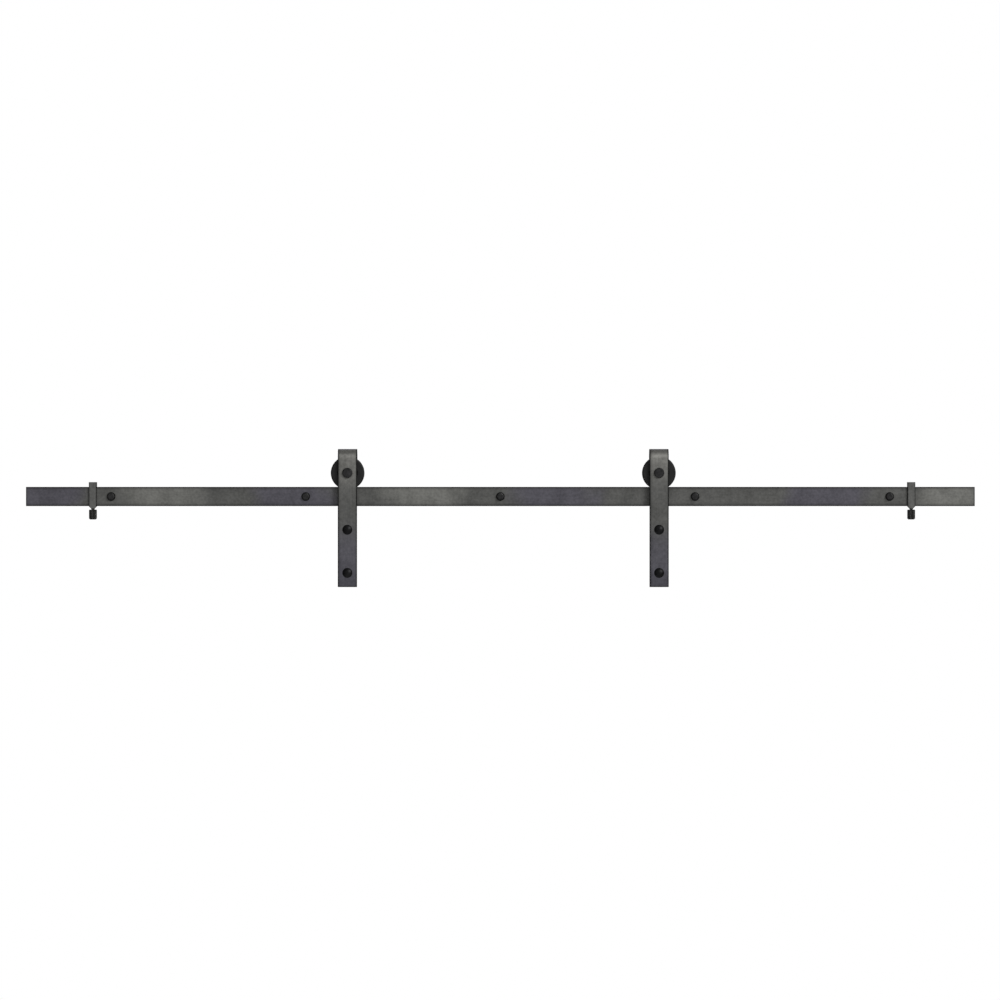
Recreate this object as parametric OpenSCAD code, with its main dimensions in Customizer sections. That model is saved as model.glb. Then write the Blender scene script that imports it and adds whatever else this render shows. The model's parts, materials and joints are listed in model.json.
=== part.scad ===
// Sliding barn door hardware: a flat rail on spacers, two hangers with grooved wheels, two stops.
// The rail runs along X, +Y points into the wall and +Z is up.
// The origin is on the wall's face, on the middle wall bolt's axis.

/* [Track] */
// Length of the rail
rail_length = 1981.2; // [1960:0.1:2100]
// Height of the rail's face
rail_height = 40; // [38:1:42]
// Thickness of the rail
rail_thickness = 6; // [5:0.5:6]
// Distance from one wall bolt to the next
bolt_spacing = 406.4; // [400:0.1:410]
// Gap between the wall and the back of the rail
wall_gap = 32; // [32:1:45]
// How far each wall bolt reaches into the wall
bolt_reach = 50; // [40:1:80]

/* [Hangers] */
// Distance of the left hanger from the middle wall bolt
left_hanger = 319; // [300:1:340]
// Distance of the right hanger from the middle wall bolt
right_hanger = 331; // [300:1:340]
// Width of a strap
strap_width = 40; // [38:1:44]
// Thickness of a strap
strap_thickness = 6; // [5:0.5:6]
// Height of a strap from its foot to the top of its bend
strap_height = 288; // [280:1:320]
// Distance of the axle below the top of the strap
axle_drop = 50; // [50:1:56]
// Distance of the upper door bolt below the axle
door_bolt_drop = 118.4; // [110:0.1:122]
// Distance from the upper door bolt to the lower one
door_bolt_spacing = 90; // [80:1:100]
// Thickness of the door that the nuts are set for
door_thickness = 35; // [30:1:36]

/* [Wheels] */
// Diameter over a wheel's flanges
wheel_diameter = 70; // [68:1:72]
// Width of a wheel
wheel_width = 22; // [20:1:23]
// Depth of the groove that runs on the rail
groove_depth = 6; // [5:0.5:7]

/* [Stops] */
// Distance of the left stop from the middle wall bolt
left_stop = 851; // [845:1:870]
// Distance of the right stop from the middle wall bolt
right_stop = 858; // [845:1:870]
// Width of a stop along the rail
stop_width = 16; // [14:1:18]
// Height of a stop above the top of the rail
stop_rise = 10; // [9:0.5:12]
// Diameter of a stop's knob
knob_diameter = 16.6; // [15:0.1:18]
// Height of a stop's knob
knob_height = 20.7; // [16:0.1:24]

/* [Hidden] */
$fn = 96;
cut = 1; // overshoot of a cutting solid
fit = 0.05; // radial clearance of a running fit

// Places across the rail
rail_back = -wall_gap;
rail_front = rail_back - rail_thickness;
rail_mid = (rail_back + rail_front) / 2;
rail_top = rail_height / 2;

// Wall bolts
bolt_count = 5;
lag_r = 4;
lag_shank_r = 3.6;
lag_tip = 6;
lag_hole_r = 4.5;
lag_head_flats = 13;
lag_head_h = 5.5;
lag_washer_r = 9;
lag_washer_h = 1.6;
spacer_r = 11;

// Wheel and bearing
wheel_gap = 0.2; // daylight between the groove's floor and the rail
wheel_r = wheel_diameter / 2;
groove_r = wheel_r - groove_depth;
groove_floor = rail_thickness / 2 + 0.8;
groove_mouth = groove_floor + 1.4;
flange_bevel = 2;
dish_r = 19;
hub_half = 7;
lip_r = 11.5;
axle_z = rail_top + groove_r + wheel_gap;
race_half = 4;
race_r = 13;
race_inner_r = 10.6;
inner_race_r = 7.4;
ball_r = 2.38;
ball_pitch_r = 9;
ball_count = 7;
raceway_r = ball_r + fit;
shield_r = 7.7;
shield_h = 0.4;
cage_half = 2.7;
cage_wall = 1.2;

// Strap
side_gap = 3; // daylight between the wheel and the strap
bend_r = wheel_width / 2 + side_gap;
strap_back = rail_mid - bend_r; // the face that the door lies against
strap_front = strap_back - strap_thickness;
strap_top = axle_z + axle_drop;
strap_foot = strap_top - strap_height;
bend_z = strap_top - bend_r - strap_thickness;
rear_leg_foot = axle_z - 22;
rear_front = rail_mid + bend_r;
rear_back = rear_front + strap_thickness;
spot_r = 9; // the seat sunk for the front bush
spot_depth = 0.5;

// Axle
axle_r = 5;
axle_thread_r = 4.5; // threads are plain rods at their pitch radius
axle_fit_r = axle_r + fit;
axle_hole_r = 5.3;
axle_head_r = 10.5;
axle_head_h = 5;
axle_head_bevel = 1.5;
axle_washer_r = 10;
axle_washer_h = 2;
axle_nut_flats = 16;
axle_nut_h = 8;
bush_r = 7;
end_gap = 1.5; // thread that shows past a nut

// Door bolts
door_bolt_r = 4;
door_thread_r = 3.6;
door_neck = 8;
door_neck_gap = 0.1;
door_neck_depth = 5;
dome_r = 10.3;
dome_h = 4.65;
dome_ball_r = (dome_h * dome_h + dome_r * dome_r) / (2 * dome_h);
door_washer_r = 12;
door_washer_h = 2;
door_nut_flats = 13;
door_nut_h = 6.5;
upper_bolt_z = axle_z - door_bolt_drop;
door_back = strap_back + door_thickness;

// Stop
stop_wall = 5.8;
stop_gap = 0.2; // daylight between a stop and the rail
stop_front = rail_front - stop_gap - stop_wall;
stop_back = rail_back + stop_gap + stop_wall;
stop_top = rail_top + stop_rise;
stop_floor = -rail_top - 0.5;
stop_foot = -rail_top - 4.5;
stop_lip = 8; // lower edge of the lip behind the rail
stop_bevel = 1;
neck_r = 3.9;
neck_h = 2.5;
screw_r = 2.5;
screw_hole_r = screw_r + fit;
screw_bore_r = 1.05;
screw_bore_depth = 2.2;
pad_r = 2.3;
pad_h = 1.3;
pad_stem_r = 1;
pad_stem_h = 2;
pad_top = -rail_top - stop_gap;
screw_top = pad_top - pad_h - fit;
knob_top = stop_foot - neck_h - 0.3;
knob_foot = knob_top - knob_height;
screw_depth = 15; // how far the screw reaches into the knob

BOLTS = [1:bolt_count];
SIDES = ["left", "right"];
HANGER_PARTS = ["strap", "axle_bolt", "front_bush", "rear_bush", "axle_washer", "axle_nut",
    "bearing_inner_race", "bearing_balls", "bearing_cage", "bearing_outer_race", "bearing_shields",
    "wheel", "door_bolts", "door_washers", "door_nuts"];
STOP_PARTS = ["stop_body", "pressure_pad", "thumb_screw", "screw_knob"];

// A shape drawn up +Z is turned to point at the wall
module toward_wall() {
    rotate([-90, 0, 0]) children();
}

// A round rod from one depth to another
module rod(r, from, to) {
    translate([0, from, 0]) toward_wall() cylinder(r = r, h = to - from);
}

// A tube from one depth to another
module tube(r, bore, from, to) {
    difference() {
        rod(r, from, to);
        rod(bore, from - cut, to + cut);
    }
}

// A hexagon across its flats, with one corner at each side
module hexagon(flats, from, to) {
    translate([0, from, 0]) toward_wall() cylinder(r = flats / sqrt(3), h = to - from, $fn = 6);
}

// A nut with its bore
module nut(flats, bore, from, to) {
    difference() {
        hexagon(flats, from, to);
        rod(bore, from - cut, to + cut);
    }
}

// Children repeated at each wall bolt
module at_wall_bolts() {
    for (i = BOLTS) translate([bolt_x(i), 0, 0]) children();
}

// Children repeated at both door bolts of a strap
module at_door_bolts() {
    for (i = [0, 1]) translate([0, 0, upper_bolt_z - i * door_bolt_spacing]) children();
}

function bolt_x(i) = (i - (bolt_count + 1) / 2) * bolt_spacing;
function hanger_x(side) = side == "left" ? -left_hanger : right_hanger;
function stop_x(side) = side == "left" ? -left_stop : right_stop;

module track_rail() {
    color("dimgray") difference() {
        translate([-rail_length / 2, rail_front, -rail_top]) cube([rail_length, rail_thickness, rail_height]);
        at_wall_bolts() rod(lag_hole_r, rail_front - cut, rail_back + cut);
    }
}

module rail_spacer(i) {
    color("dimgray") translate([bolt_x(i), 0, 0]) tube(spacer_r, lag_hole_r, rail_back, 0);
}

module lag_bolts() {
    head_back = rail_front - lag_washer_h;
    color([0.13, 0.13, 0.13]) at_wall_bolts() {
        hexagon(lag_head_flats, head_back - lag_head_h, head_back);
        rod(lag_shank_r, head_back, 0);
        rod(lag_r, 0, bolt_reach - lag_tip);
        translate([0, bolt_reach - lag_tip, 0]) toward_wall() cylinder(r1 = lag_r, r2 = 0.5, h = lag_tip);
    }
}

module lag_washers() {
    color([0.1, 0.1, 0.1]) at_wall_bolts() tube(lag_washer_r, lag_hole_r, rail_front - lag_washer_h, rail_front);
}

// Side outline of a strap: depth across, height up
module strap_outline() {
    outer = bend_r + strap_thickness;
    difference() {
        union() {
            translate([rail_mid, bend_z]) circle(r = outer);
            translate([strap_front, strap_foot]) square([2 * outer, bend_z - strap_foot]);
        }
        translate([rail_mid, bend_z]) circle(r = bend_r);
        translate([strap_back, strap_foot - cut]) square([2 * bend_r, bend_z - strap_foot + cut]);
        translate([rear_front - cut, strap_foot - cut])
            square([strap_thickness + 2 * cut, rear_leg_foot - strap_foot + cut]);
    }
}

module strap() {
    hole = door_neck + 2 * door_neck_gap;
    color("dimgray") difference() {
        rotate([90, 0, 90]) linear_extrude(strap_width, center = true) strap_outline();
        translate([0, 0, axle_z]) {
            rod(axle_hole_r, strap_front - cut, rear_back + cut);
            rod(spot_r, strap_back - spot_depth, strap_back + cut);
        }
        at_door_bolts() translate([-hole / 2, strap_front - cut, -hole / 2])
            cube([hole, strap_thickness + 2 * cut, hole]);
    }
}

module axle_bolt() {
    head_front = strap_front - axle_head_h;
    color([0.18, 0.18, 0.18]) translate([0, 0, axle_z]) {
        translate([0, head_front, 0]) toward_wall() {
            cylinder(r1 = axle_head_r - axle_head_bevel, r2 = axle_head_r, h = axle_head_bevel);
            translate([0, 0, axle_head_bevel]) cylinder(r = axle_head_r, h = axle_head_h - axle_head_bevel);
        }
        rod(axle_r, strap_front, rear_back);
        rod(axle_thread_r, rear_back, rear_back + axle_washer_h + axle_nut_h + end_gap);
    }
}

module front_bush() {
    color("silver") translate([0, 0, axle_z])
        tube(bush_r, axle_fit_r, strap_back - spot_depth, rail_mid - race_half);
}

module rear_bush() {
    color("silver") translate([0, 0, axle_z]) tube(bush_r, axle_fit_r, rail_mid + race_half, rear_front);
}

module axle_washer() {
    color([0.1, 0.1, 0.1]) translate([0, 0, axle_z])
        tube(axle_washer_r, axle_hole_r, rear_back, rear_back + axle_washer_h);
}

module axle_nut() {
    from = rear_back + axle_washer_h;
    color([0.13, 0.13, 0.13]) translate([0, 0, axle_z])
        nut(axle_nut_flats, axle_thread_r + fit, from, from + axle_nut_h);
}

// Turns a half outline, drawn as radius and distance from the wheel's middle, round the axle
module turned_on_axle() {
    translate([0, rail_mid, axle_z]) toward_wall() rotate_extrude() children();
}

// Half outline of a race between two radii, with the groove that the balls run in
module race_outline(inner, outer) {
    difference() {
        translate([inner, -race_half]) square([outer - inner, 2 * race_half]);
        translate([ball_pitch_r, 0]) circle(r = raceway_r);
    }
}

module bearing_inner_race() {
    color("silver") turned_on_axle() race_outline(axle_fit_r, inner_race_r);
}

module bearing_outer_race() {
    color("silver") turned_on_axle() race_outline(race_inner_r, race_r);
}

module bearing_shields() {
    color("darkgray") turned_on_axle() for (end = [-race_half, race_half - shield_h])
        translate([shield_r, end]) square([race_inner_r - shield_r, shield_h]);
}

// Children repeated at each ball of the bearing
module at_balls() {
    for (i = [0:ball_count - 1])
        translate([0, rail_mid, axle_z]) rotate([0, i * 360 / ball_count, 0]) translate([0, 0, ball_pitch_r])
            children();
}

module bearing_balls() {
    color("white") at_balls() sphere(r = ball_r);
}

module bearing_cage() {
    color("silver") difference() {
        turned_on_axle() translate([ball_pitch_r - cage_wall / 2, -cage_half]) square([cage_wall, 2 * cage_half]);
        at_balls() sphere(r = raceway_r);
    }
}

module wheel() {
    half = wheel_width / 2;
    color([0.15, 0.15, 0.16]) turned_on_axle() polygon([
        [lip_r, -hub_half],
        [dish_r, -hub_half],
        [dish_r + 2, -half],
        [wheel_r - flange_bevel, -half],
        [wheel_r, flange_bevel - half],
        [wheel_r, -groove_mouth],
        [groove_r, -groove_floor],
        [groove_r, groove_floor],
        [wheel_r, groove_mouth],
        [wheel_r, half - flange_bevel],
        [wheel_r - flange_bevel, half],
        [dish_r + 2, half],
        [dish_r, hub_half],
        [race_r, hub_half],
        [race_r, -race_half],
        [lip_r, -race_half]
    ]);
}

module door_bolts() {
    color([0.13, 0.13, 0.13]) at_door_bolts() {
        intersection() {
            translate([0, strap_front + dome_ball_r - dome_h, 0]) sphere(r = dome_ball_r);
            rod(dome_r + cut, strap_front - dome_h - cut, strap_front);
        }
        translate([-door_neck / 2, strap_front, -door_neck / 2]) cube([door_neck, door_neck_depth, door_neck]);
        rod(door_thread_r, strap_front + door_neck_depth, strap_back);
        rod(door_bolt_r, strap_back, door_back);
        rod(door_thread_r, door_back, door_back + door_washer_h + door_nut_h + end_gap);
    }
}

module door_washers() {
    color([0.1, 0.1, 0.1]) at_door_bolts()
        tube(door_washer_r, door_bolt_r + fit, door_back, door_back + door_washer_h);
}

module door_nuts() {
    from = door_back + door_washer_h;
    color([0.13, 0.13, 0.13]) at_door_bolts() nut(door_nut_flats, door_thread_r + fit, from, from + door_nut_h);
}

// Side outline of a stop: it hooks over the rail and is open towards the wall
module stop_side() {
    slot_front = rail_front - stop_gap;
    slot_back = rail_back + stop_gap;
    polygon([
        [stop_front, stop_foot],
        [stop_back, stop_foot],
        [stop_back, stop_floor],
        [slot_front, stop_floor],
        [slot_front, rail_top + stop_gap],
        [slot_back, rail_top + stop_gap],
        [slot_back, stop_lip],
        [stop_back, stop_lip],
        [stop_back, stop_top],
        [stop_front, stop_top]
    ]);
}

// Front outline of a stop: its foot narrows to the neck
module stop_face() {
    half = stop_width / 2;
    taper = half - neck_r - 0.1;
    polygon([
        [-half, stop_top],
        [-half, stop_foot + taper],
        [taper - half, stop_foot],
        [half - taper, stop_foot],
        [half, stop_foot + taper],
        [half, stop_top]
    ]);
}

// Plan of a stop: its front corners are bevelled
module stop_plan() {
    half = stop_width / 2;
    polygon([
        [-half, stop_back],
        [-half, stop_front + stop_bevel],
        [stop_bevel - half, stop_front],
        [half - stop_bevel, stop_front],
        [half, stop_front + stop_bevel],
        [half, stop_back]
    ]);
}

module stop_body() {
    tall = stop_top - stop_foot;
    color("dimgray") difference() {
        union() {
            intersection() {
                rotate([90, 0, 90]) linear_extrude(stop_width, center = true) stop_side();
                translate([0, stop_back, 0]) rotate([90, 0, 0]) linear_extrude(stop_back - stop_front) stop_face();
                translate([0, 0, stop_foot]) linear_extrude(tall) stop_plan();
            }
            translate([0, rail_mid, stop_foot - neck_h]) cylinder(r = neck_r, h = neck_h);
        }
        translate([0, rail_mid, stop_foot - neck_h - cut]) cylinder(r = screw_hole_r, h = tall / 2);
    }
}

module pressure_pad() {
    color("peru") translate([0, rail_mid, pad_top - pad_h]) {
        cylinder(r = pad_r, h = pad_h);
        translate([0, 0, -pad_stem_h]) cylinder(r = pad_stem_r, h = pad_stem_h);
    }
}

module thumb_screw() {
    foot = knob_top - screw_depth;
    color("silver") translate([0, rail_mid, 0]) difference() {
        translate([0, 0, foot]) cylinder(r = screw_r, h = screw_top - foot);
        translate([0, 0, screw_top - screw_bore_depth]) cylinder(r = screw_bore_r, h = screw_bore_depth + cut);
    }
}

module screw_knob() {
    r = knob_diameter / 2;
    top_bevel = 0.8;
    foot_bevel = 2;
    color([0.08, 0.08, 0.08]) translate([0, rail_mid, 0]) rotate_extrude() polygon([
        [0, knob_foot],
        [r - foot_bevel, knob_foot],
        [r, knob_foot + foot_bevel],
        [r, knob_top - top_bevel],
        [r - top_bevel, knob_top],
        [screw_r, knob_top],
        [screw_r, knob_top - screw_depth],
        [0, knob_top - screw_depth]
    ]);
}

// One hanger part, drawn at x = 0
module hanger_part(part) {
    if (part == "strap") strap();
    if (part == "axle_bolt") axle_bolt();
    if (part == "front_bush") front_bush();
    if (part == "rear_bush") rear_bush();
    if (part == "axle_washer") axle_washer();
    if (part == "axle_nut") axle_nut();
    if (part == "bearing_inner_race") bearing_inner_race();
    if (part == "bearing_balls") bearing_balls();
    if (part == "bearing_cage") bearing_cage();
    if (part == "bearing_outer_race") bearing_outer_race();
    if (part == "bearing_shields") bearing_shields();
    if (part == "wheel") wheel();
    if (part == "door_bolts") door_bolts();
    if (part == "door_washers") door_washers();
    if (part == "door_nuts") door_nuts();
}

// One stop part, drawn at x = 0
module stop_part(part) {
    if (part == "stop_body") stop_body();
    if (part == "pressure_pad") pressure_pad();
    if (part == "thumb_screw") thumb_screw();
    if (part == "screw_knob") screw_knob();
}

track_rail();
lag_bolts();
lag_washers();
for (i = BOLTS)
    rail_spacer(i);
for (side = SIDES) {
    for (part = HANGER_PARTS)
        translate([hanger_x(side), 0, 0]) hanger_part(part);
    for (part = STOP_PARTS)
        translate([stop_x(side), 0, 0]) stop_part(part);
}
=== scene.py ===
import json
import math

import bmesh
import bpy
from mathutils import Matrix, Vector


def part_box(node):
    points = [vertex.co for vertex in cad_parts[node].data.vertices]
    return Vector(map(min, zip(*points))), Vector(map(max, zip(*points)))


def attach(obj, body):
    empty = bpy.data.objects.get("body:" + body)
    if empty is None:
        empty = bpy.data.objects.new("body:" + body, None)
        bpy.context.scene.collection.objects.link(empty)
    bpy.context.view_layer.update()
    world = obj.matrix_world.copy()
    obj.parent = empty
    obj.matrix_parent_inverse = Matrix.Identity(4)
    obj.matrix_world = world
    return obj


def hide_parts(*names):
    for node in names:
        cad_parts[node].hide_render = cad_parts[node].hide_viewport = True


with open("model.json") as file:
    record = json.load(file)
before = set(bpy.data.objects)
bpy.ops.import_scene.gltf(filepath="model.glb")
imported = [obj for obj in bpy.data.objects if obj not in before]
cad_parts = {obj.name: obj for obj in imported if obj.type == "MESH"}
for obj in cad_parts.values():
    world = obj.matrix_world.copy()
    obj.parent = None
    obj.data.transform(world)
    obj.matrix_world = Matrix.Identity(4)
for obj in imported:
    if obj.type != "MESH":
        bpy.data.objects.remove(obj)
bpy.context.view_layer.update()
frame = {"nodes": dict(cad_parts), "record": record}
record = frame["record"]
bodyOf = {node: body for body, nodes in record["behaviour"]["bodies"].items() for node in nodes}
sideNames = ("left", "right")
mm = 0.001  # the scene is in metres
mergeGap = 0.001 * mm
over = 1 * mm  # how far a cutting tool runs past what it cuts


def deselect():
    bpy.ops.object.select_all(action="DESELECT")


def takeUp(piece):
    deselect()
    piece.select_set(True)
    bpy.context.view_layer.objects.active = piece


def settle():  # the place and the size go into the mesh
    bpy.ops.object.transform_apply(location=True, rotation=True, scale=True)


def edit(piece):
    takeUp(piece)
    bpy.ops.object.mode_set(mode="EDIT")


def endEdit():
    bpy.ops.object.mode_set(mode="OBJECT")


def pick(piece, kind, wanted):  # selects the vertices, edges or faces that pass the test
    bpy.ops.mesh.select_mode(type=kind)
    bpy.ops.mesh.select_all(action="DESELECT")
    mesh = bmesh.from_edit_mesh(piece.data)
    for part in {"VERT": mesh.verts, "EDGE": mesh.edges, "FACE": mesh.faces}[kind]:
        if wanted(part):
            part.select_set(True)
    bmesh.update_edit_mesh(piece.data)


def cleanMesh():  # in edit mode: doubles merged first, then faces turned outwards
    bpy.ops.mesh.select_mode(type="VERT")
    bpy.ops.mesh.select_all(action="SELECT")
    bpy.ops.mesh.remove_doubles(threshold=mergeGap)
    bpy.ops.mesh.normals_make_consistent(inside=False)


def applyModifier(piece, kind, **settings):
    takeUp(piece)
    bpy.ops.object.modifier_add(type=kind)
    modifier = piece.modifiers[-1]
    for name, value in settings.items():
        setattr(modifier, name, value)
    bpy.ops.object.modifier_apply(modifier=modifier.name)


def combine(piece, tool, operation="DIFFERENCE"):  # the tool is used up
    applyModifier(piece, "BOOLEAN", object=tool, operation=operation, solver="EXACT")
    bpy.data.objects.remove(tool, do_unlink=True)
    return piece


def soften(piece, width, segments=2, angle=30):
    applyModifier(piece, "BEVEL", width=width, segments=segments, limit_method="ANGLE",
                  angle_limit=math.radians(angle))
    return piece


def copyPiece(piece, shift):
    takeUp(piece)
    bpy.ops.object.duplicate(linked=False)
    bpy.ops.transform.translate(value=shift)
    settle()
    return bpy.context.object


def joinPieces(pieces):
    deselect()
    for piece in pieces:
        piece.select_set(True)
    bpy.context.view_layer.objects.active = pieces[0]
    bpy.ops.object.join()
    return pieces[0]


def standFor(piece, node, material, crease=35):
    piece.name = "fine_" + node
    takeUp(piece)
    bpy.ops.object.shade_smooth_by_angle(angle=math.radians(crease))
    applyModifier(piece, "WEIGHTED_NORMAL", keep_sharp=True)  # flat faces stay flat beside rounded edges
    piece.data.materials.clear()
    piece.data.materials.append(material)
    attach(piece, bodyOf[node])
    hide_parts(node)


def middle(node):
    low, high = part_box(node)
    return (low + high) / 2


def depthOf(node):  # its front and its back, across the wall
    low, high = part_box(node)
    return low.y, high.y


def sideShift(node):  # from a left piece to the right one
    return (middle(node + "_right").x - middle(node + "_left").x, 0, 0)


def onBothSides(pieces, shift):  # every left piece, then its copy on the right
    for node, piece in pieces.items():
        other = copyPiece(piece, shift)
        yield node, "left", piece
        yield node, "right", other


def block(low, high):
    deselect()
    low, high = Vector(low), Vector(high)
    bpy.ops.mesh.primitive_cube_add(size=1, location=(low + high) / 2, scale=high - low)
    settle()
    return bpy.context.object


def hexRod(x, z, flats, front, back):  # one corner at each side
    deselect()
    bpy.ops.mesh.primitive_cylinder_add(vertices=6, radius=flats / math.sqrt(3), depth=back - front,
                                        location=(x, (front + back) / 2, z),
                                        rotation=(math.pi / 2, math.pi / 6, 0))
    settle()
    return bpy.context.object


def drawLine(points):  # a lone vertex is drawn out from point to point; stays in edit mode
    deselect()
    bpy.ops.mesh.primitive_plane_add(size=mm, location=points[0])
    settle()
    piece = bpy.context.object
    edit(piece)
    bpy.ops.mesh.select_mode(type="VERT")
    bpy.ops.mesh.select_all(action="SELECT")
    bpy.ops.mesh.merge(type="CENTER")
    bpy.ops.mesh.select_all(action="SELECT")
    for here, there in zip(points, points[1:]):
        bpy.ops.mesh.extrude_region_move(TRANSFORM_OT_translate={"value": there - here})
    return piece


def lathe(outline, x, other, axis="Y", steps=96):
    # outline is (radius, place along the axis); other is z for a Y axis and y for a Z axis
    if axis == "Y":
        points = [Vector((x + radius, along, other)) for radius, along in outline]
        spinAxis, centre = (0, 1, 0), (x, 0, other)
    else:
        points = [Vector((x + radius, other, along)) for radius, along in outline]
        spinAxis, centre = (0, 0, 1), (x, other, 0)
    if outline[0][0] > 0:
        points.append(points[0])
    piece = drawLine(points)
    bpy.ops.mesh.select_all(action="SELECT")
    bpy.ops.mesh.spin(steps=steps, angle=2 * math.pi, center=centre, axis=spinAxis)
    cleanMesh()
    endEdit()
    return piece


def ring(x, z, radius, bore, front, back, edge, steps=96):  # a tube or washer with broken edges
    return lathe([
        (bore + edge, front), (radius - edge, front), (radius, front + edge), (radius, back - edge),
        (radius - edge, back), (bore + edge, back), (bore, back - edge), (bore, front + edge)],
        x, z, steps=steps)


def arc(centreRadius, centreAlong, radius, start, end, count):  # angles from the axis, in degrees
    angles = [math.radians(start + (end - start) * i / count) for i in range(count + 1)]
    return [(centreRadius + radius * math.sin(a), centreAlong - radius * math.cos(a)) for a in angles]


def threadRod(x, other, root, crest, pitch, start, end, axis="Y", steps=20):
    # one turn of the flank is drawn, swept as a helix, and cut square at both ends
    flank = [(root, 0), (root, 0.1), (crest, 0.42), (crest, 0.58), (root, 0.9), (root, 1)]
    spare = 1.5 * pitch  # the ragged ends of the helix, which the cuts take off
    turns = math.ceil((end - start) / pitch) + 3
    piece = drawLine([Vector((radius, 0, turn * pitch)) for radius, turn in flank])
    endEdit()
    applyModifier(piece, "SCREW", axis="Z", screw_offset=pitch, iterations=turns, steps=steps,
                  render_steps=steps, use_merge_vertices=True, merge_threshold=mergeGap)
    edit(piece)
    cleanMesh()
    for height, direction in ((spare, -1), (spare + end - start, 1)):
        bpy.ops.mesh.select_all(action="SELECT")
        bpy.ops.mesh.bisect(plane_co=(0, 0, height), plane_no=(0, 0, direction), use_fill=True,
                            clear_outer=True, threshold=mergeGap)
    cleanMesh()
    endEdit()
    shift = start - spare
    if axis == "Y":
        piece.rotation_euler = (-math.pi / 2, 0, 0)
        piece.location = (x, shift, other)
    else:
        piece.location = (x, other, shift)
    takeUp(piece)
    settle()
    return piece


def threadedEnd(x, z, shape, start, end):  # a thread with a bevelled tip
    bevel = shape["crest"] - shape["root"]
    slack = 0.2 * mm
    piece = threadRod(x, z, shape["root"], shape["crest"], shape["pitch"], start, end)
    tip = lathe([(0, start - slack), (shape["crest"] + slack, start - slack),
                 (shape["crest"] + slack, end - bevel - slack), (shape["root"] - slack, end), (0, end)],
                x, z, steps=48)
    return combine(piece, tip, "INTERSECT")


def holeTool(x, z, radius, chamfer, front, back):  # cuts a round hole with both rims broken
    return lathe([(0, front - over), (radius + chamfer + over, front - over), (radius, front + chamfer),
                  (radius, back - chamfer), (radius + chamfer + over, back + over), (0, back + over)],
                 x, z, steps=64)


def chamferedHex(x, z, flats, face, front, back, both=False):
    # a hexagon turned down at its corners to a round face, at the front or at both ends
    spare = 0.1 * mm
    coneAngle = math.radians(30)
    wide = flats / math.sqrt(3) + spare
    drop = (wide - face) * math.tan(coneAngle)
    end = [(wide, back - drop), (face, back)] if both else [(wide, back)]
    cone = lathe([(0, front), (face, front), (wide, front + drop)] + end + [(0, back)], x, z)
    return combine(hexRod(x, z, flats, front, back), cone, "INTERSECT")


def add(tree, kind, inputs=None, **settings):  # a shader node whose inputs are values or sockets
    made = tree.nodes.new("ShaderNode" + kind)
    for name, value in settings.items():
        setattr(made, name, value)
    for name, value in (inputs or {}).items():
        if isinstance(value, bpy.types.NodeSocket):
            tree.links.new(value, made.inputs[name])
        else:
            made.inputs[name].default_value = value
    return made


def calc(tree, operation, first, second=0.0):
    return add(tree, "Math", {0: first, 1: second}, operation=operation).outputs[0]


def spread(tree, value, low, high, toLow=0.0, toHigh=1.0):  # a smooth step between two values
    return add(tree, "MapRange", {"Value": value, "From Min": low, "From Max": high, "To Min": toLow,
                                  "To Max": toHigh}, interpolation_type="SMOOTHSTEP").outputs[0]


def blend(tree, factor, first, second):
    made = add(tree, "Mix", {0: factor}, data_type="RGBA")
    for index, value in ((6, first), (7, second)):
        if isinstance(value, bpy.types.NodeSocket):
            tree.links.new(value, made.inputs[index])
        else:
            made.inputs[index].default_value = (*value, 1)
    return made.outputs[2]


def objectPlace(tree):
    return add(tree, "TexCoord").outputs["Object"]


def along(tree, place, axis):
    return add(tree, "SeparateXYZ", {0: place}).outputs[axis]


def facing(tree, axis):  # 1 where the surface faces along an axis of the object
    normal = add(tree, "TexCoord").outputs["Normal"]
    return calc(tree, "ABSOLUTE", along(tree, normal, axis))


def noise(tree, place, scale, stretch=(1, 1, 1), detail=4, rough=0.5):
    moved = add(tree, "Mapping", {"Vector": place, "Scale": stretch}).outputs[0]
    return add(tree, "TexNoise", {"Vector": moved, "Scale": scale, "Detail": detail,
                                  "Roughness": rough}).outputs["Fac"]


squareFace = {"from": 0.8, "full": 0.98}  # how far a face looks along an axis to count as square to it


def nearEdge(tree, place, axis, low, high, full, lowBand, highBand):
    # 1 along both rims of a face that runs across an axis, fading out over a band at each;
    # 0 on the two faces that are square to the axis
    at = along(tree, place, axis)
    lowRim = spread(tree, at, low + full, low + lowBand, 1, 0)
    highRim = spread(tree, at, high - highBand, high - full)
    across = spread(tree, facing(tree, axis), squareFace["from"], squareFace["full"], 1, 0)
    return calc(tree, "MULTIPLY", calc(tree, "MAXIMUM", lowRim, highRim), across)


def distanceFrom(tree, place, x, z):  # radius from an axis that runs along Y
    acrossX = calc(tree, "SUBTRACT", along(tree, place, 0), x)
    acrossZ = calc(tree, "SUBTRACT", along(tree, place, 2), z)
    squares = calc(tree, "ADD", calc(tree, "POWER", acrossX, 2), calc(tree, "POWER", acrossZ, 2))
    return calc(tree, "SQRT", squares)


def laidFlat(tree, place):  # swaps y and z, so that distanceFrom works round an upright axis
    return add(tree, "CombineXYZ", {0: along(tree, place, 0), 2: along(tree, place, 1)}).outputs[0]


def startMaterial(name, metallic, roughness, specular=0.5, grazing=1.0):
    material = bpy.data.materials.new(name)
    material.use_nodes = True
    shader = material.node_tree.nodes["Principled BSDF"]
    shader.inputs["Metallic"].default_value = metallic
    shader.inputs["Roughness"].default_value = roughness
    shader.inputs["Specular IOR Level"].default_value = specular
    shader.inputs["Specular Tint"].default_value = (grazing, grazing, grazing, 1)
    return material, material.node_tree, shader


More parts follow.
